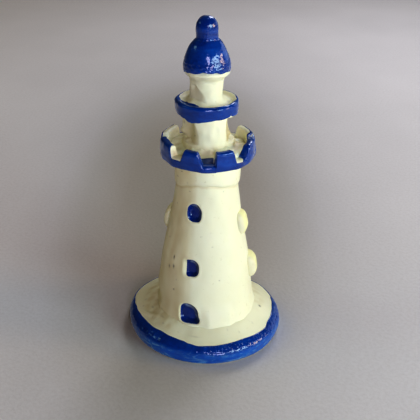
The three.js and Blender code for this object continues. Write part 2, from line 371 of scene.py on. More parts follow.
def tower_radius(height):
    """Radius of the tower's wall without its relief."""
    outline = np.array(TOWER_OUTLINE)
    return np.interp(height, outline[:, 1], outline[:, 0])


# --- Windows ---


RECESS = 0.95  # depth of the door and the windows


def oval(side, up, half_width, half_height, squareness):
    """How far out a point is, as a share of the way to a squarish oval's edge."""
    power = np.abs(side / half_width) ** squareness + np.abs(up / half_height) ** squareness
    return power ** (1 / squareness)


class Opening(NamedTuple):
    """A recess in the tower's front: a squarish oval whose four corners round differently."""

    name: str
    middle: float  # height of its middle
    shift: float  # how far its middle is to the right of the door's azimuth
    half_width: float
    half_height: float
    corners: tuple  # squareness of top left, top right, foot right, foot left
    lean: float  # how far the foot strays right for each millimetre down
    toe: float  # how much wider the right of the foot is
    reveal: float  # width of the bare slope at its left
    painted_pool_shade: float  # how much painted shade darkens its enamel

    def frame(self, side, up):
        """A wall point's distance to the right of the middle, and the half width and squareness there."""
        side = side - self.shift + self.lean * up
        top_left, top_right, foot_right, foot_left = self.corners
        top = np.where(side < 0, top_left, top_right)
        low = np.where(side < 0, foot_left, foot_right)
        width = self.half_width + self.toe * smooth(-up / self.half_height * 1.5) * (side > 0)
        return side, width, np.where(up > 0, top, low)

    def leftness(self, side):
        """1 at the opening's left, 0 at its right."""
        return smooth(-side / self.half_width * 1.6 + 0.1)

    def inside(self, theta, height):
        """How far a point is inside the edge, in millimetres, negative outside, and its leftness."""
        up = height - self.middle
        side, width, squareness = self.frame(turn_to(theta, 0) * tower_radius(height), up)
        reach = oval(side, up, width, self.half_height, squareness)
        return (1 - reach) * self.half_width, self.leftness(side)

    def depth(self, theta, height):
        """Depth of the recess at a place, and how far inside the edge that is."""
        inside, left = self.inside(theta, height)
        wall = 0.32 + self.reveal * 0.9 * left
        return RECESS * smooth(inside / wall + 0.12), inside

    def edge(self, angle):
        """The edge in a direction, as sideways and upward distances, for an upright opening."""
        side, up = np.cos(angle), np.sin(angle)
        reach = np.ones_like(side)
        for _ in range(12):  # the corners change with the place, so it closes in on the edge
            across = side * reach + self.shift - self.lean * up * reach
            _, width, squareness = self.frame(across, up * reach)
            reach = 1 / oval(side, up, width, self.half_height, squareness)
        return side * reach, up * reach


OPENINGS = [
    Opening("upper_window", 33.72, -0.2, 1.74, 2.15, (2.5, 1.7, 3.6, 2.4), 0.0, 0.0, 0.0, 0.75),
    Opening("middle_window", 20.7, -0.05, 1.92, 2.1, (5.0, 2.2, 3.0, 4.0), 0.02, 0.0, 0.95, 0.8),
    Opening("door", 9.5, -0.1, 2.45, 2.45, (2.1, 2.0, 6.0, 4.0), 0.08, 0.45, 0.3, 0.6),
]

# --- Relief of each casting ---

# How far the tower's foot stands out or in, in millimetres, round the object.
FOOT = [
    (-180, -0.8), (-103, -1.0), (-80, -1.1), (-64, -0.6), (-38, -0.3), (-20, 0.0), (-6, 0.0),
    (7, 0.55), (27, 0.75), (36, 0.4), (60, 0.1), (74, -0.2), (90, -0.2), (130, -0.5),
]

SPECKS = [  # azimuth from the view, height, half width, half height, darkness
    (-45.8, 22.2, 0.2, 0.6, 0.95), (-53.5, 19.3, 0.3, 0.5, 0.7), (-44.9, 19.9, 0.27, 0.55, 1.0),
    (-40.9, 14.3, 0.22, 0.26, 0.7), (-6.5, 28.4, 0.13, 0.13, 0.4), (10.5, 26.0, 0.13, 0.16, 0.5),
    (18.8, 17.8, 0.15, 0.15, 0.6), (33.7, 38.6, 0.15, 0.2, 0.4), (-28.6, 39.9, 0.3, 0.12, 0.5),
    (-48, 39.4, 0.4, 0.12, 0.5), (-30.6, 38.5, 0.3, 0.12, 0.4), (-43, 42.9, 0.5, 0.12, 0.4),
    (-60, 34.5, 0.2, 0.25, 0.3), (-63, 26.0, 0.18, 0.18, 0.4), (-38, 17.0, 0.15, 0.25, 0.3),
    (150, 22, 0.2, 0.3, 0.5), (171, 33, 0.2, 0.2, 0.5), (-130, 14, 0.2, 0.25, 0.5),
    (-105, 31, 0.2, 0.2, 0.4),
]


def speckled(theta, height, radius, specks):
    """How strongly the little marks listed, mostly pits, show at a place."""
    total = 0.0
    for azimuth, level, half_width, half_height, darkness in specks:
        side = turn_from_view(theta, azimuth) * radius
        gap = np.hypot(side / half_width, (height - level) / half_height)
        total = total + darkness * bell(gap, 0.8)
    return np.minimum(total, 1)


def tower_relief(theta, radius, height):
    out = lumps(11, theta, height, 10, 7, 0.07) + lumps(12, theta, height, 10, 2.2, 0.018)
    out = out + around_edge(theta, FOOT) * smooth((12.5 - height) / 4.5)
    for opening in OPENINGS:
        depth, inside = opening.depth(theta, height)
        out = out - depth + 0.05 * bell(inside + 0.3, 0.3)
    return out - 0.16 * speckled(theta, height, radius, SPECKS)


def grime_and_shade(points, specks):
    """How dark each point of a casting is from the marks listed: dirt in pits, and on the watch room painted
    shade in a crevice.
    """
    return speckled(azimuth_of(points), points[..., 2], radius_of(points), specks)


# How much painted shade darkens the tower's and the collar's paint, round the object, strongest on the shaded
# left.
WALL_PAINTED_SHADE = [
    (-180, 0.3), (-100, 0.3), (-60, 0.28), (-48, 0.42), (-30, 0.48), (-21, 0.25), (-13, 0), (100, 0),
    (140, 0.25),
]


def wall_painted_shade(theta, height):
    """Painted shade in upright streaks, and a painted shadow line in the corner under the collar."""
    streaks = 1 + lumps(14, theta, height / 4, 9, 1.1, 0.11) + lumps(15, theta, height, 9, 2.5, 0.09)
    streaks = np.clip(streaks, 0.4, 1.6)
    # painted shadow: a dark line under the collar's overhang
    corner = 0.35 * bell(height - collar_foot(theta) + 0.1, 0.3)
    return np.minimum(around_edge(theta, WALL_PAINTED_SHADE) * streaks + corner, 1)


def collar_foot(theta):
    """Height of the collar's lower edge, which dips at the sides."""
    drop = 0.95
    swing = np.cos(2 * turn_from_view(theta, 0))
    return COLLAR_FOOT - drop + drop * swing + brush_line(71, theta, 0.08)


def wall_tones(points, specks):
    """Dirt in pits, and painted shade, on the tower and its collar."""
    painted_shade = wall_painted_shade(azimuth_of(points), points[..., 2])
    return {"grime_and_shade": grime_and_shade(points, specks), "painted_shade": painted_shade}


PLINTH_SPECKS = [
    (-72, 6.3, 0.5, 0.12, 0.3), (-50, 6.5, 0.9, 0.1, 0.2), (-44, 5.9, 0.3, 0.1, 0.3),
    (-82, 5.3, 0.2, 0.15, 0.35), (78, 6.3, 0.35, 0.2, 0.9), (52, 5.6, 0.25, 0.2, 0.15),
    (33, 5.6, 0.2, 0.2, 0.2), (23, 6.3, 0.2, 0.2, 0.15), (-8, 5.4, 1.3, 0.1, 0.2),
    (-60, 5.6, 0.3, 0.2, 0.2), (-90, 5.8, 0.4, 0.3, 0.2), (150, 5.6, 0.3, 0.3, 0.5),
    (-140, 6, 0.3, 0.3, 0.5),
]


def plinth_relief(theta, radius, height):
    top = smooth((radius - 2) / 6) * smooth((height - 0.3) / 1.5)
    out = lumps(21, theta, radius + height, 16, 8, 0.1) + lumps(22, theta, radius + height, 16, 2.4, 0.03)
    aside = turn_from_view(theta, -66)
    ridge = 0.22 * bell(aside, 0.16) * bell(radius - 14.6 + 6 * aside, 0.5)
    return (out + ridge) * top


def scoop(theta, height, sides, peak, low, high, point, depth):
    """A niche with an arched head that leans to its peak: its depth at a place on a drum."""
    over = np.clip((height - low) / (high - low), 0, 1)
    share = (1 - over ** point[0]) ** point[1]
    left = peak + (sides[0] - peak) * share
    right = peak + (sides[1] - peak) * share
    half = np.radians(np.maximum(right - left, 0.1) / 2)
    across = turn_from_view(theta, 0) - np.radians((left + right) / 2)
    across = (across + np.pi) % TURN - np.pi
    return depth * np.clip(1 - (across / half) ** 2, 0, 1) ** 1.45 * smooth((height - low) / 0.6 + 0.5)


def swelling(theta, height, azimuth, level, width, tall, amount):
    """A soft bump on a drum, about `width` degrees by `tall` millimetres to each side."""
    aside = bell(turn_from_view(theta, azimuth), math.radians(width))
    return amount * aside * bell(height - level, tall)


# A dirty pit, and two marks of painted shade in the crevice at the watch room's left foot.
DRUM_SPECKS = [(-32.6, 50.9, 0.16, 0.18, 1.0), (-96, 49.7, 0.7, 0.4, 0.7), (-92, 52.5, 0.3, 0.5, 0.3)]
DRUM_PAINTED_SHADE = [(-180, 0.4), (-100, 0.3), (0, 0.3), (45, 1.0), (100, 0.8)]  # painted shade in its niches, round the object


def watch_niches(theta, height):
    """Depth of the niches round the watch room, in millimetres."""
    total = 0.0
    for left, right, depth in ((-103, -19, 1.45), (44, 128, 1.3), (160, 236, 1.2)):
        peak = (left + right) / 2
        total = total + scoop(theta, height, (left, right), peak, 49.2, 55.5, (2, 0.5), depth)
    return total


def watch_tones(points):
    """Dark marks on the watch room, and painted shade in its niches and along its foot."""
    theta, height = azimuth_of(points), points[..., 2]
    side = around_edge(theta, DRUM_PAINTED_SHADE)
    foot = 0.35 * smooth((49.6 - height) / 1.2)
    painted_shade = np.maximum(side * smooth(watch_niches(theta, height) / 0.9), foot)
    return {"grime_and_shade": grime_and_shade(points, DRUM_SPECKS), "painted_shade": painted_shade}


def watch_relief(theta, radius, height):
    out = lumps(31, theta, height, 5, 3.5, 0.06) + lumps(32, theta, height, 5, 1.2, 0.03)
    out = out - watch_niches(theta, height)
    out = out + swelling(theta, height, -102, 52.4, 13, 1.9, 0.6)
    out = out + swelling(theta, height, -95, 50.3, 12, 0.6, 0.75)
    return out + swelling(theta, height, 88, 50.4, 16, 0.7, 0.75)


def lantern_relief(theta, radius, height):
    out = lumps(41, theta, height, 3.6, 3, 0.05) + lumps(42, theta, height, 3.6, 1, 0.02)
    for left, right, peak, depth in ((-82, 2, -66, 0.48), (60, 132, 96, 0.5), (164, 238, 200, 0.6)):
        out = out - scoop(theta, height, (left, right), peak, 58.2, 62.6, (1.7, 0.75), depth)
    return out


def soft_relief(seed, radius, size, amount):
    """A relief of soft unevenness only."""

    def relief(theta, _, height):
        return lumps(seed, theta, height, radius, size, amount)

    return relief


# --- Parapet ---

# Crenels, from the photograph's view: left and right side at half height, how far each side leans
# back over the wall's height, all in degrees, and the crenel's depth in millimetres.
CRENELS = [
    (-9.5, 10.7, 4.2, 0.8, 2.95), (34.5, 56, 3.5, 4.5, 2.65), (82, 96, 2.2, 2.0, 2.65),
    (134, 156, 3.0, 2.6, 2.65), (173, 188, 2.6, 2.2, 2.65), (210, 228, 2.2, 3.0, 2.65),
    (264, 275, 2.4, 2.0, 2.2), (310.5, 328.5, 2.2, 3.2, 2.05),
]
MERLON_TOP = 49.42
GALLERY_FLOOR = 47.4


def wall_top(theta):
    """Height of the wall's top: the merlons' tops, less the crenels' depth."""
    top = MERLON_TOP + brush_line(51, theta, 0.06, 3, 12)
    for left, right, left_lean, right_lean, depth in CRENELS:
        half = math.radians((right - left) / 2)
        angle = turn_from_view(theta, (left + right) / 2)
        rise_left = (angle + half) / math.radians(2 * left_lean) + 0.5
        rise_right = (half - angle) / math.radians(2 * right_lean) + 0.5
        top = top - depth * smooth(rise_left) * smooth(rise_right)
    return top


def wall_outer(height):
    return np.interp(height, [GALLERY_FOOT, 45.6, 46.6, 48, 49.8], [10.2, 10.42, 10.52, 10.5, 10.38])


def wall_inner(height):
    return np.interp(height, [46.4, 47, 48, 49.8], [8.4, 8.6, 8.75, 8.9])


# How much of the wall's top the enamel covers, from outside to inside, round the object.
PARAPET_COVER = [
    (-135, 0.3), (-128, 0.34), (-110, 0.36), (-97, 0.3), (-92, 0.35), (-84, 0.6), (-70, 0.8),
    (-56, 0.85), (-52.5, 0.4), (-50, 0.1), (-36, 0.1), (-32, 0.2), (-28, 0.85), (-24, 0.95),
    (-14, 0.98), (-9, 1.05), (10, 1.05), (14, 0.95), (28, 0.9), (31, 0.5), (35, 0.16), (46, 0.12),
    (50, 0.4), (53, 1.0), (62, 1.0), (70, 0.9), (79, 0.8), (83, 0.2), (92, 0.2), (94.5, 1.0),
    (98, 1.0), (102, 0.45), (110, 0.34), (140, 0.3), (200, 0.3),
]
# Pale cream streaks across the enamel on the side of one merlon: radius, height, half length, half width.
PALE_STREAKS = [(10.15, 49.25, 0.6, 0.11), (9.8, 48.85, 0.7, 0.11), (10.1, 48.35, 0.6, 0.13)]
STREAKED_SIDE = 97


def pale_streaks(points):
    """Where the parapet's enamel takes pale cream streaks."""
    radius = radius_of(points)
    near = bell(turn_from_view(azimuth_of(points), STREAKED_SIDE), math.radians(4))
    total = 0.0
    for at_radius, level, half_length, half_width in PALE_STREAKS:
        along = (radius - at_radius) / half_length
        up = (points[..., 2] - level - 0.5 * (radius - at_radius)) / half_width
        total = total + near * bell(np.hypot(along, up), 0.9)
    return {"pale_mark": np.minimum(total, 1)}


class Parapet:
    """The crenellated wall. The run goes up the outside, over the top and down the inside."""

    OUTSIDE, OVER, INSIDE = 4.8, 2.4, 3.6  # length of each stretch of the run
    FLOOR = 46.35  # height where the inside ends
    ROUNDING = 0.62  # height of the rounded top
    SPREAD = 0.35  # how far the inside leans towards the axis at its foot

    @property
    def end(self):
        return self.OUTSIDE + self.OVER + self.INSIDE

    def __call__(self, s, theta):
        s, theta = np.broadcast_arrays(s, theta)
        top = wall_top(theta)
        half = 0.5 * (wall_outer(top) - wall_inner(top))
        arc = np.minimum(self.ROUNDING, half)
        shoulder = top - arc
        climb = np.clip(s / self.OUTSIDE, 0, 1)
        over = np.clip((s - self.OUTSIDE) / self.OVER, 0, 1)
        down = np.clip((s - self.OUTSIDE - self.OVER) / self.INSIDE, 0, 1)
        outside_height = GALLERY_FOOT + (shoulder - GALLERY_FOOT) * climb
        outside = wall_outer(outside_height)
        turn = np.pi * over
        middle = 0.5 * (wall_outer(shoulder) + wall_inner(shoulder))
        over_radius = middle + half * np.sign(np.cos(turn)) * np.abs(np.cos(turn)) ** 0.7
        over_height = shoulder + arc * np.sin(turn) ** 0.8
        inside_height = shoulder + (self.FLOOR - shoulder) * down
        inside = wall_inner(inside_height) - self.SPREAD * smooth((down - 0.6) / 0.4)
        climbing, turning = s < self.OUTSIDE, over < 1
        radius = np.where(climbing, outside, np.where(turning, over_radius, inside))
        height = np.where(climbing, outside_height, np.where(turning, over_height, inside_height))
        radius = radius + lumps(52, theta, height, 10, 4, 0.07) + lumps(53, theta, height, 10, 1.4, 0.03)
        return place(radius, theta, height)


# --- Build ---


# How far the plinth enamel's upper edge strays in over the shoulder, round the object.
PLINTH_PAINT = [
    (-180, -0.9), (-104, -0.9), (-94, -0.3), (-84, 0.3), (-72, 0.7), (-63, 0.95), (-50, 0.9),
    (-38, 1.15), (-28, 1.1), (-18, 0.95), (-12, 0.5), (-4, 0.1), (6, 0.1), (17, 0.4), (30, 0.5),
    (44, 0.35), (58, 0.1), (66, 0.6), (76, 0.5), (88, 0.3), (100, -0.1), (108, -0.8),
]
# How strongly the enamel is pimpled along the plinth's shoulder, round the object.
PLINTH_PIMPLES = [(-80, 0), (-62, 0.5), (-40, 0.5), (-22, 0.1), (0, 0.4), (25, 1), (75, 1), (100, 0)]
# How thin the enamel is on the plinth's side, where the brush ran dry, round the object.
PLINTH_THIN = [
    (-180, 0.3), (-100, 0.2), (-72, 0.25), (-50, 0.85), (-32, 1.0), (-16, 0.5), (0, 0.6), (40, 0.8),
    (80, 0.8), (120, 0.4),
]
# How much painted shade the plinth's top gets near the tower's foot, round the object.
PLINTH_PAINTED_SHADE = [(-180, 0.3), (-100, 0.5), (-40, 0.55), (-25, 0.1), (60, 0.0), (85, 0.25), (120, 0.3)]


def plinth_tones(points):
    """Dirt in the plinth's pits, and a band of painted shade along the tower's foot on its shaded side."""
    theta, radius = azimuth_of(points), radius_of(points)
    patchy = np.clip(0.6 + lumps(23, theta, radius, 14, 1.2, 0.35), 0, 1)
    painted_shade = patchy * around_edge(theta, PLINTH_PAINTED_SHADE) * smooth((15.6 - radius) / 2.0)
    return {"grime_and_shade": grime_and_shade(points, PLINTH_SPECKS), "painted_shade": painted_shade}


def build_plinth():
    surface = Turned(PLINTH_OUTLINE, plinth_relief, OVAL_STRETCH)
    around = thetas(420, 0.35)
    body = casting("plinth_casting", surface, around, rows=210, tones_at=plinth_tones)
    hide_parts("plinth")
    edge = surface.near(16.9, 4.45)

    def ridges(s, theta):
        rough = brush_marks(63, 18, 0.01, 0.9, 0.014)(s, theta)
        pimpled = smooth(lumps(65, theta, s, 18, 0.38, 1.0) - 0.6) * bell(s - edge + 1.0, 1.0)
        return rough + 0.11 * pimpled * around_edge(theta, PLINTH_PIMPLES)

    def thinness(points):
        under = smooth((3.9 - points[..., 2]) / 1.5)
        return {"thin": under * around_edge(azimuth_of(points), PLINTH_THIN)}

    around = thetas(860, 0.45)
    start = surface.near(17.6, 0.3) + brush_line(61, around, 0.02)
    stop = edge + around_edge(around, PLINTH_PAINT) + brush_line(62, around, 0.05)
    band = coat("plinth_enamel", surface, around, start, stop, 0.12, 100, ridges, thinness)
    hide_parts("plinth_band")
    return body, band


def build_tower(surface):
    around = thetas(300, 0.66, facing=0)
    body = casting("tower_casting", surface, around, 330, lambda points: wall_tones(points, SPECKS))
    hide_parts("tower")
    return body


COLLAR_SPECKS = [
    (-47, 42.9, 0.4, 0.12, 0.7), (-60, 41.2, 0.5, 0.15, 0.5), (-36, 40.6, 0.4, 0.1, 0.4),
    (-52, 44.1, 0.25, 0.1, 0.5), (-70, 42.4, 0.2, 0.3, 0.4), (12, 43.2, 0.12, 0.12, 0.35),
    (60, 42.2, 0.2, 0.1, 0.3),
]


def build_collar():
    around = thetas(260)
    theta = around[None, :]
    lower = collar_foot(theta)
    heights = np.concatenate([[0.0, 0.02, 0.05, 0.1, 0.18], np.linspace(0.26, 1, 30)])[:, None]
    inner_radius = 6.5
    outer = [6.75, 7.05, 7.22, 7.36, 7.43] + [7.45] * 30
    radius = np.array(outer)[:, None] + lumps(72, theta, heights * 5, 7.4, 4, 0.05)
    height = lower + (GALLERY_FOOT + 0.1 - lower) * heights
    rows = place(radius, theta, height)
    ends = [place(inner_radius, theta, height[:1]), place(inner_radius, theta, height[-1:])]
    points = np.concatenate([ends[0], rows, ends[1]])
    body = ring_from_rows("tower_collar_casting", points, wall_tones(points, COLLAR_SPECKS))
    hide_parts("tower_collar")
    return body


# How much painted shade the gallery's floor gets by the watch room, round the object.
GALLERY_PAINTED_SHADE = [(-180, 0.5), (-60, 0.5), (-30, 0.15), (25, 0.1), (60, 0.5), (120, 0.5)]


def gallery_tones(points):
    """Thin blue wash on the gallery's edge, where the front crenel was painted, and painted shade in its
    hollows by the watch room.
    """
    theta, radius = azimuth_of(points), radius_of(points)
    across = smooth((math.radians(10.5) - np.abs(turn_from_view(theta, 2))) / 0.03)
    patchy = np.clip(0.5 + lumps(82, theta, radius, 7, 1.3, 0.4), 0, 1)
    painted_shade = patchy * around_edge(theta, GALLERY_PAINTED_SHADE) * smooth((9 - radius) / 2)
    return {"wash": across * smooth((radius - 7.75) / 0.25), "painted_shade": painted_shade}


def build_gallery():
    deck = Turned(
        [
            (0, 44.8), (6.6, 44.8), (8.6, GALLERY_FOOT), (9.6, GALLERY_FOOT + 0.02), (9.8, 45.3),
            (9.2, 45.9), (8.6, 46.2), (8.46, 46.5), (8.36, 47.0), (8.2, GALLERY_FLOOR - 0.05),
            (7.6, GALLERY_FLOOR + 0.05), (6.8, 47.55), (6.2, 47.85), (5.6, 48.5), (5.2, 49),
            (4.6, 49.2), (0, 49.2),
        ],
        soft_relief(81, 7, 1.5, 0.1),
    )
    body = casting("gallery_deck_casting", deck, thetas(300), 170, gallery_tones)
    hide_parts("gallery_deck")
    return body


def build_parapet():
    wall = Parapet()
    around = thetas(900)
    theta = around[None, :]
    rows = 84
    face = wall(np.linspace(0, wall.end, rows)[:, None], theta)
    foot_ring = place(9.0, theta, GALLERY_FOOT + 0.1)
    inside_foot = place(8.1, theta, wall.FLOOR - 0.3)
    body = ring_from_rows("parapet_casting", np.concatenate([foot_ring, face, inside_foot]))
    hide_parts("parapet")

    start = 0.1 + brush_line(91, around, 0.03)
    cover = wall.OVER * around_edge(around, PARAPET_COVER)
    stop = wall.OUTSIDE + cover + brush_line(92, around, 0.06, 4, 30)
    marks = brush_marks(93, 10, 0.006, 0.9, 0.01)
    band = coat("parapet_enamel", wall, around, start, stop, 0.1, rows, marks, pale_streaks)
    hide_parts("parapet")
    return body, band


def build_watch_room():
    surface = Turned(
        [
            (6.1, DRUM_FOOT - 0.4), (5.9, 48), (5.65, 49.2), (5.4, 50.6), (5.15, 52), (4.97, 53.2),
            (4.87, 54.3), (4.95, BALCONY_FOOT + 0.3),
        ],
        watch_relief,
    )
    body = casting("watch_room_casting", surface, thetas(520), 150, watch_tones)
    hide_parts("watch_room")
    return body


# How far the enamel's inner edge strays in over the rim, in millimetres, round the object.
BALCONY_PAINT = [
    (-180, -0.5), (-120, -0.45), (-100, -0.1), (-88, 0.4), (-78, 1.1), (-68, 1.6), (-42, 1.9),
    (-25, 1.6), (-12, 0.85), (0, 0.3), (12, 0.2), (30, 0.4), (50, 0.4), (70, 0.2), (80, -0.1), (92, -0.5),
]
# How far the wet enamel sagged below the balcony's lower edge before it set, round the object.
BALCONY_SAG = [
    (-180, 0), (-75, 0), (-58, -0.1), (-47, 0.1), (-36, 0.75), (-30, 0.8), (-18, 0.45), (-8, 0.3),
    (6, 0.1), (20, 0), (60, -0.1), (90, 0),
]


def build_balcony():
    surface = Turned(
        [
            (0, BALCONY_FOOT), (4.6, BALCONY_FOOT), (6.0, BALCONY_FOOT + 0.02), (6.6, 55.3), (6.8, 55.9),
            (6.84, 57), (6.78, 57.75), (6.45, 58.05), (6.05, 57.95), (5.7, 57.7), (5.2, 57.6),
            (4.6, 57.75), (4.1, 58.2), (3.4, 58.6), (0, 58.6),
        ],
        soft_relief(101, 6, 2.2, 0.06),
    )
    body = casting("balcony_casting", surface, thetas(300), 170)
    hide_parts("balcony_deck")
    corner = surface.near(6.7, 55.5)

    def sag(s, theta):
        return around_edge(theta, BALCONY_SAG) * smooth((corner + 0.9 - s) / 0.9)

    around = thetas(560)
    pale_mark = 0.3 * bell(turn_from_view(around, 50), 0.05)
    start = surface.near(6.55, 55.25) + brush_line(102, around, 0.07) + pale_mark
    stop = surface.near(6.05, 57.95) + around_edge(around, BALCONY_PAINT) + brush_line(103, around, 0.05)
    marks = brush_marks(104, 6.8, 0.006, 0.8, 0.012)
    band = coat("balcony_enamel", surface, around, start, stop, 0.11, 70, marks, sag=sag)
    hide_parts("balcony_band")
    return body, band


def build_lantern():
    surface = Turned(
        [
            (5.0, LANTERN_FOOT - 0.1), (4.3, 58.05), (3.9, 58.7), (3.7, 59.6), (3.62, 61.2),
            (3.6, EAVE_FOOT + 0.4),
        ],
        lantern_relief,
    )
    body = casting("lantern_casting", surface, thetas(360), 100)
    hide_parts("lantern_room")
    return body


def build_eave():
    surface = Turned(
        [
            (3.45, EAVE_FOOT - 0.8), (3.54, EAVE_FOOT - 0.3), (3.64, EAVE_FOOT + 0.2),
            (3.82, EAVE_FOOT + 0.63), (4.12, 63.33), (4.45, 63.68), (4.74, 64.0), (4.93, 64.35),
            (4.85, 64.7), (4.5, 65.1),
        ],
        soft_relief(111, 4.5, 2, 0.05),
    )
    body = casting("eave_casting", surface, thetas(300), 60)
    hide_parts("eave")
    return body


# Height of the roof enamel's lower edge, round the object.
ROOF_EDGE = [
    (-180, 64.3), (-88, 64.15), (-46, 64.7), (-30, 64.75), (-5, 65.3), (14, 65.1), (22, 65.0), (45, 64.85),
    (88, 64.4), (130, 64.2),
]


def build_roof():
    surface = Turned(
        [
            (4.6, 63.65), (4.82, 64.0), (4.97, 64.45), (5.0, 65.1), (4.96, 65.7), (4.83, 66.4), (4.6, 67.25),
            (4.12, 68.6), (3.55, 69.8), (3.1, 70.45), (2.66, 70.95), (2.36, 71.2), (2.24, 71.6), (2.22, 72.4),
            (2.24, 73.3), (2.17, 74.1), (1.95, 74.75), (1.5, 75.32), (0.8, 75.75), (0, TIP - 0.13),
        ],
        lambda theta, radius, height: lumps(121, theta, height, 4, 2.4, 0.04) * smooth(radius / 1.5),
    )
    seam = surface.near(2.3, FINIAL_FOOT + 0.1)
    around = thetas(420)
    theta = around[None, :]

    def painted(name, start, stop, rows, lip, node):
        share = np.linspace(0, 1, rows)[:, None]
        s = start + (stop - start) * share
        lip_width, thickness = 0.25, 0.12
        inset = np.clip((s - start) / lip_width, 0, 1)
        rounding = np.sqrt(np.clip(1 - (1 - inset) ** 2, 0, 1)) if lip else 1.0
        height = np.interp(s, surface.run, surface.line[:, 1])
        rough = brushed(122, theta, s, 4, 0.005) + lumps(123, theta, s, 4, 0.5, 0.017)
        rough = rough * (0.35 + smooth((68.2 - height) / 2.5)) * smooth((surface.end - s) / 2)
        lift = (thickness + SUNK) * rounding - SUNK + rough
        normal = outward(surface, np.minimum(s, surface.end - 0.1), theta)
        piece = solid_from_rows(name, surface(s, theta) + normal * lift[..., None])
        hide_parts(node)
        return piece

    start = surface.at_height(around_edge(theta, ROOF_EDGE)) + brush_line(124, theta, 0.035, 6, 30)
    body = painted("roof_enamel", start, seam, 110, True, "roof")
    knob = painted("finial_enamel", seam, surface.end - 0.02, 90, False, "finial")
    return body, knob


POOL_SEED = 130
HOOD_SEED = 140
HOODS = [  # name, azimuth, middle height, half width, half height, stand-off, yellowness
    ("right_upper_hood", 93, 29.2, 2.35, 2.8, 1.3, 0.5),
    ("right_lower_hood", 107, 16.95, 2.7, 3.05, 1.75, 0.5),
    ("left_upper_hood", 267, 28.1, 2.6, 3.1, 1.35, 0.1),
]


def build_paint_pool(seed, opening, tower):
    """Enamel in an opening: a thin skin that follows the recess, up to its edge on the right."""
    angle = np.arange(200) * TURN / 200
    share = np.concatenate([np.linspace(0.03, 0.7, 20), np.linspace(0.72, 1, 30)])[:, None]
    side, up = opening.edge(angle)
    thickness, back_depth = 0.14, 0.3
    bare = ((opening.reveal - 0.1) * 0.66 / opening.half_width) * opening.leftness(side)
    across, above = share * side * (1 - (0.02 + bare)), share * up * 0.97
    height = opening.middle + above
    theta = (across + opening.shift - opening.lean * above) / tower_radius(height)
    s = tower.at_height(height)
    rounding = np.sqrt(np.clip(1 - np.clip((share - 0.9) / 0.1, 0, 1) ** 2, 0, 1))
    lift = (thickness + SUNK) * rounding - SUNK + lumps(seed, across, above, 1, 0.9, 0.02) * rounding
    normal = outward(tower, s, theta)
    face = (tower(s, theta) + normal * lift[..., None])[::-1]
    rear = tower(s, theta) - normal * back_depth
    rows = np.concatenate([rear[:1], rear[-1:], face])
    # the enamel in the recess is darkened throughout as painted shade
    shade = {"painted_pool_shade": np.full(rows.shape[:2], opening.painted_pool_shade)}
    piece = solid_from_rows(opening.name + "_enamel", rows, shade)
    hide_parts(opening.name)
    return piece


def build_hood(seed, name, azimuth, middle, half_width, half_height, standoff, yellow):
    """A squarish domed lump on the tower's wall, sunk a little way into it, with painted shade and no
    yellowing on its side towards the door.
    """
    angle = np.arange(180) * TURN / 180
    power = np.where(np.sin(angle) > 0, 3.4, 3.0)  # its head is squarer than its foot
    side, up = np.abs(np.cos(angle) / half_width), np.abs(np.sin(angle) / half_height)
    reach = (side**power + up**power) ** (-1 / power)
    side, up = np.cos(angle) * reach, np.sin(angle) * reach
    share = np.concatenate([np.linspace(0.04, 0.8, 22), np.linspace(0.83, 1, 18)])[:, None]
    across = share * side
    height = middle + share * up
    above = height - middle
    dome = np.clip(1 - share**3.4, 0, 1) ** 0.5
    taper = 0.86 + 0.14 * smooth((above + half_height) / half_height)
    grain = lumps(seed, across, above, 1.2, 1.6, 0.05)
    edge_depth, back_depth = 0.25, 0.7
    out = -edge_depth + (standoff + edge_depth + grain) * dome * taper
    theta = math.radians(azimuth) + across / tower_radius(height)
    face = place(tower_radius(height) + out, theta, height)[::-1]
    rear = place(tower_radius(height) - back_depth, theta, height)
    rows = np.concatenate([rear[:1], rear[-1:], face])
    # painted shade on the hood's side towards the door, which is left without yellowing
    shaded_side = smooth((-turn_to(azimuth_of(rows), azimuth) - 0.1) / 0.1)
    tones = {"yellow": yellow * (1 - shaded_side), "painted_shade": 0.22 * shaded_side}
    piece = solid_from_rows(name + "_casting", rows, tones)
    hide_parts(name)
    return piece


# --- Materials ---

MIX_FIRST, MIX_SECOND, MIX_RESULT = 6, 7, 2  # the colour sockets of a Mix node


def grey(level):
    return (level, level, level)


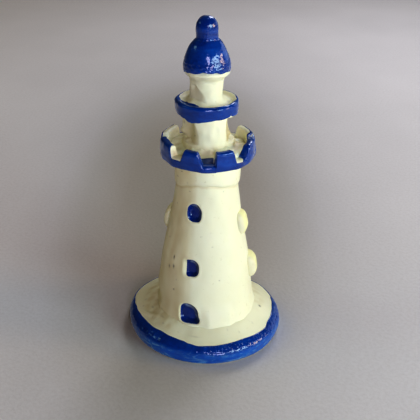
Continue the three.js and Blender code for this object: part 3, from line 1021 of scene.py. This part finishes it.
class Paint:
    """A node material, with short calls for the nodes that the surfaces here share."""

    def __init__(self, name):
        self.material = bpy.data.materials.new(name)
        self.material.use_nodes = True
        self.nodes = self.material.node_tree.nodes
        self.links = self.material.node_tree.links
        self.place = self.nodes.new("ShaderNodeTexCoord").outputs["Object"]

    def put(self, value, socket):
        """Link a node's output to a socket, or set a number or a colour on it."""
        if isinstance(value, bpy.types.NodeSocket):
            self.links.new(value, socket)
        else:
            socket.default_value = value

    def noise(self, scale, detail, roughness=0.5, distortion=0.0, at=None):
        node = self.nodes.new("ShaderNodeTexNoise")
        node.inputs["Scale"].default_value = scale
        node.inputs["Detail"].default_value = detail
        node.inputs["Roughness"].default_value = roughness
        node.inputs["Distortion"].default_value = distortion
        self.links.new(self.place if at is None else at, node.inputs["Vector"])
        return node.outputs["Fac"]

    def mapping(self, kind, inputs):
        """The place on the object, moved, turned or scaled."""
        node = self.nodes.new("ShaderNodeMapping")
        node.vector_type = kind
        for name, value in inputs.items():
            node.inputs[name].default_value = value
        self.links.new(self.place, node.inputs["Vector"])
        return node.outputs["Vector"]

    def ramp(self, value, *stops):
        node = self.nodes.new("ShaderNodeValToRGB")
        while len(node.color_ramp.elements) < len(stops):
            node.color_ramp.elements.new(0.5)
        for element, (position, colour) in zip(node.color_ramp.elements, stops):
            element.position = position
            element.color = (*colour, 1.0)
        self.links.new(value, node.inputs["Fac"])
        return node.outputs["Color"]

    def mixed(self, share, first, second, blend="MIX"):
        node = self.nodes.new("ShaderNodeMix")
        node.data_type = "RGBA"
        node.blend_type = blend
        self.put(share, node.inputs["Factor"])
        self.put(first, node.inputs[MIX_FIRST])
        self.put(second, node.inputs[MIX_SECOND])
        return node.outputs[MIX_RESULT]

    def tone(self, name):
        node = self.nodes.new("ShaderNodeAttribute")
        node.attribute_name = name
        return node.outputs["Fac"]

    def tinted(self, colour, tints):
        """The colour, tinted in turn where each named vertex tone is."""
        for name, tint in tints:
            colour = self.mixed(self.tone(name), colour, (*tint, 1.0))
        return colour

    def bumps(self, *layers):
        """A chain of bump nodes: each layer is (height socket, depth in metres)."""
        normal = None
        for height, depth in layers:
            bump = self.nodes.new("ShaderNodeBump")
            bump.inputs["Distance"].default_value = depth
            bump.inputs["Strength"].default_value = 1.0
            self.links.new(height, bump.inputs["Height"])
            if normal is not None:
                self.links.new(normal, bump.inputs["Normal"])
            normal = bump.outputs["Normal"]
        return normal

    def finished(self, inputs):
        """The material, with its shader's inputs linked or set."""
        for name, value in inputs.items():
            self.put(value, self.nodes["Principled BSDF"].inputs[name])
        return self.material


# Cream tints by vertex tone: yellowed paint; painted shade where shade falls; a thin blue wash; dark marks,
# dirt in pits and painted shade in a crevice.
CREAM_TINTS = (
    ("yellow", (0.88, 0.83, 0.28)),
    ("painted_shade", (0.6, 0.5, 0.25)),
    ("wash", (0.045, 0.075, 0.15)),
    ("grime_and_shade", (0.07, 0.06, 0.06)),
)


def cream_paint():
    paint = Paint("cream_satin_paint")
    broad = paint.noise(120, 3)
    fine = paint.noise(900, 5, 0.6)
    base = paint.ramp(broad, (0.3, (0.84, 0.82, 0.58)), (0.7, (0.87, 0.855, 0.62)))
    speck = paint.ramp(fine, (0.26, (0.6, 0.57, 0.42)), (0.36, grey(1)))
    return paint.finished({
        "Base Color": paint.tinted(paint.mixed(0.4, base, speck, "MULTIPLY"), CREAM_TINTS),
        "Roughness": paint.ramp(fine, (0.3, grey(0.4)), (0.7, grey(0.52))),
        "Specular IOR Level": 0.4,
        "Subsurface Weight": 0.12,
        "Subsurface Radius": (1.0, 0.8, 0.5),
        "Subsurface Scale": 0.0012,
        "Normal": paint.bumps((broad, 0.00012), (fine, 0.00002)),
    })


def blue_enamel():
    paint = Paint("blue_gloss_enamel")
    stretched = paint.mapping("POINT", {"Scale": (1, 1, 3.2)})
    streaks = paint.noise(180, 4, 0.55, 0.6, stretched)
    ripple = paint.noise(700, 3)
    scumble = paint.noise(330, 5, 0.6, 1.2, stretched)
    thinned = paint.ramp(
        scumble, (0.38, (0.006, 0.1, 0.46)), (0.54, (0.012, 0.15, 0.5)), (0.66, (0.12, 0.33, 0.58))
    )
    base = paint.ramp(
        streaks,
        (0.3, (0.002, 0.034, 0.21)),
        (0.55, (0.003, 0.057, 0.3)),
        (0.74, (0.008, 0.09, 0.38)),
        (0.84, (0.03, 0.15, 0.43)),
    )
    base = paint.mixed(paint.tone("thin"), base, thinned)
    # The first tint darkens the enamel in the openings as painted shade; the second gives pale cream streaks
    # on one merlon.
    tints = (("painted_pool_shade", (0.001, 0.016, 0.15)), ("pale_mark", (0.8, 0.78, 0.6)))
    return paint.finished({
        "Base Color": paint.tinted(base, tints),
        "Roughness": paint.ramp(ripple, (0.3, grey(0.1)), (0.7, grey(0.2))),
        "Specular IOR Level": 0.62,
        "Sheen Weight": 0.3,
        "Sheen Roughness": 0.35,
        "Sheen Tint": (0.7, 0.85, 1.0, 1.0),
        "Normal": paint.bumps((streaks, 0.00004), (ripple, 0.000012)),
    })


# The middle of the painted shadow round the object, behind and left of it as the photograph looks.
FLOOR_SHADE_BACK = 0.07
FLOOR_SHADE_LEFT = 0.006
FLOOR_SHADE_SIZE = (0.2, 0.6, 1)  # across and along the view, for a reach of 1
WARM, PALE, PLAIN = (1.07, 0.98, 0.86), (1.03, 0.985, 0.93), (1.02, 0.985, 0.975)
FLOOR_SHADES = [  # reach from the middle of the shade, grey, tint
    (0.1, 0.5, WARM), (0.165, 0.62, PALE), (0.21, 0.75, PLAIN), (0.26, 0.83, PLAIN),
    (0.33, 0.89, PLAIN), (0.45, 0.94, PLAIN), (0.65, 0.97, PLAIN),
]


def floor_material():
    """Pale paper with a painted shadow: a soft pool round the object, darker and warmest at its middle."""
    paint = Paint("studio_floor")
    cloud = paint.noise(14, 3)
    shade = paint.mapping("TEXTURE", {
        "Location": from_view(180, 0, FLOOR_SHADE_BACK) + from_view(-90, 0, FLOOR_SHADE_LEFT),
        "Rotation": (0, 0, math.radians(VIEW_AZIMUTH)),
        "Scale": FLOOR_SHADE_SIZE,
    })
    reach = paint.nodes.new("ShaderNodeVectorMath")
    reach.operation = "LENGTH"
    paint.links.new(shade, reach.inputs[0])
    stops = [(at, tuple(level * part for part in tint)) for at, level, tint in FLOOR_SHADES]
    pale = paint.ramp(reach.outputs["Value"], *stops)
    cloudy = paint.ramp(cloud, (0.3, grey(0.93)), (0.7, grey(1)))
    grain = paint.noise(1100, 4, 0.65)
    grainy = paint.ramp(grain, (0.3, (0.9, 0.89, 0.88)), (0.6, grey(1)))
    shaded = paint.mixed(1.0, pale, cloudy, "MULTIPLY")
    return paint.finished({
        "Base Color": paint.mixed(0.7, shaded, grainy, "MULTIPLY"),
        "Normal": paint.bumps((grain, 0.00005)),
        "Roughness": 0.7,
    })


# --- Stage ---


def aim(thing, target):
    direction = Vector(target) - thing.location
    thing.rotation_euler = direction.to_track_quat("-Z", "Y").to_euler()


def from_view(azimuth, elevation, distance):
    """A place in metres, from the photograph's view azimuth, about the object's middle."""
    a, e = math.radians(azimuth + VIEW_AZIMUTH), math.radians(elevation)
    return Vector((math.sin(a) * math.cos(e), -math.cos(a) * math.cos(e), math.sin(e))) * distance


# name, azimuth from the view, elevation, distance in metres, width and height, watts, colour
LIGHTS = [
    ("window", 50, 15, 0.7, (0.4, 0.2), 2.1, (0.68, 0.9, 0.97)),
    ("warm_window", 84, 13, 0.7, (0.2, 0.16), 0.97, (1.0, 0.72, 0.42)),
    ("left_pane", 9, 18, 0.7, (0.16, 0.26), 1.16, (0.96, 0.9, 1.16)),
    ("back_pane", 158, 38, 0.4, (0.14, 0.1), 0.3, (0.95, 0.97, 1.1)),
    ("top_glint", 112, 80, 0.4, (0.06, 0.04), 0.035, (0.95, 1.0, 1.05)),
    ("left_glint", -88, 34, 0.7, (0.18, 0.12), 0.12, (0.6, 1.0, 0.9)),
    ("warm_fill", -100, 30, 0.9, (1.0, 0.8), 0.62, (1.24, 0.83, 0.22)),
    ("right_sheen", 126, 13, 0.7, (0.5, 0.3), 0.47, (0.72, 0.84, 1.08)),
]
NOT_MIRRORED = "warm_fill"  # it lights the object without showing in the enamel
LIT_HEIGHT = 0.035  # the lights are aimed at the object's axis, this high


def add_light(name, azimuth, elevation, distance, size, power, colour):
    light = bpy.data.lights.new(name, "AREA")
    light.shape = "RECTANGLE"
    light.size, light.size_y = size
    light.energy = power
    light.color = colour
    lamp = bpy.data.objects.new(name, light)
    target = Vector((0, 0, LIT_HEIGHT))
    lamp.location = from_view(azimuth, elevation, distance) + target
    lamp.visible_glossy = name != NOT_MIRRORED
    aim(lamp, target)
    bpy.context.scene.collection.objects.link(lamp)


def build_stage():
    """The floor, the lights, a dim warm room round them, and the picture's contrast."""
    span = 3.0  # half the floor's width, in metres
    mesh = bpy.data.meshes.new("studio_floor")
    corners = [(-span, -span, 0), (span, -span, 0), (span, span, 0), (-span, span, 0)]
    mesh.from_pydata(corners, [], [(0, 1, 2, 3)])
    ground = bpy.data.objects.new("studio_floor", mesh)
    bpy.context.scene.collection.objects.link(ground)
    mesh.materials.append(floor_material())
    for light in LIGHTS:
        add_light(*light)
    world = bpy.data.worlds.new("studio")
    world.use_nodes = True
    background = world.node_tree.nodes["Background"]
    background.inputs["Color"].default_value = (1.0, 0.72, 0.36, 1.0)
    background.inputs["Strength"].default_value = 0.02
    bpy.context.scene.world = world
    bpy.context.scene.view_settings.view_transform = "Standard"
    bpy.context.scene.view_settings.look = "High Contrast"


def build_camera():
    """The photograph's view: 165 mm in front of the axis and 117 mm up, looking 27.6 degrees down."""
    distance, height, aside = 0.1649, 0.11695, 0.00102
    pitch, roll = math.radians(27.57), math.radians(0.83)
    data = bpy.data.cameras.new("camera")
    data.sensor_width = 36
    data.lens = 68.8
    data.clip_start, data.clip_end = 0.01, 20
    camera = bpy.data.objects.new("camera", data)
    place_in_view = Matrix.Translation((aside, -distance, height))
    look = Matrix.Rotation(math.pi / 2 - pitch, 4, "X") @ Matrix.Rotation(roll, 4, "Z")
    camera.matrix_world = Matrix.Rotation(math.radians(VIEW_AZIMUTH), 4, "Z") @ place_in_view @ look
    bpy.context.scene.collection.objects.link(camera)
    bpy.context.scene.camera = camera


# --- Assembly ---

build_camera()
build_stage()

TOWER = Turned(TOWER_OUTLINE, tower_relief)
CREAM = cream_paint()
BLUE = blue_enamel()

plinth_casting, plinth_enamel = build_plinth()
parapet_casting, parapet_enamel = build_parapet()
balcony_casting, balcony_enamel = build_balcony()
roof_enamel, finial_enamel = build_roof()
cream_pieces = [
    plinth_casting, build_tower(TOWER), build_collar(), build_gallery(), parapet_casting,
    build_watch_room(), balcony_casting, build_lantern(), build_eave(),
    *[build_hood(HOOD_SEED + k, *hood) for k, hood in enumerate(HOODS)],
]
blue_pieces = [
    plinth_enamel, parapet_enamel, balcony_enamel, roof_enamel, finial_enamel,
    *[build_paint_pool(POOL_SEED + k, opening, TOWER) for k, opening in enumerate(OPENINGS)],
]

for pieces, material, slot in ((cream_pieces, CREAM, "cream_paint"), (blue_pieces, BLUE, "blue_enamel")):
    for piece in pieces:
        piece.data.materials.append(material)
        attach(piece, "root")
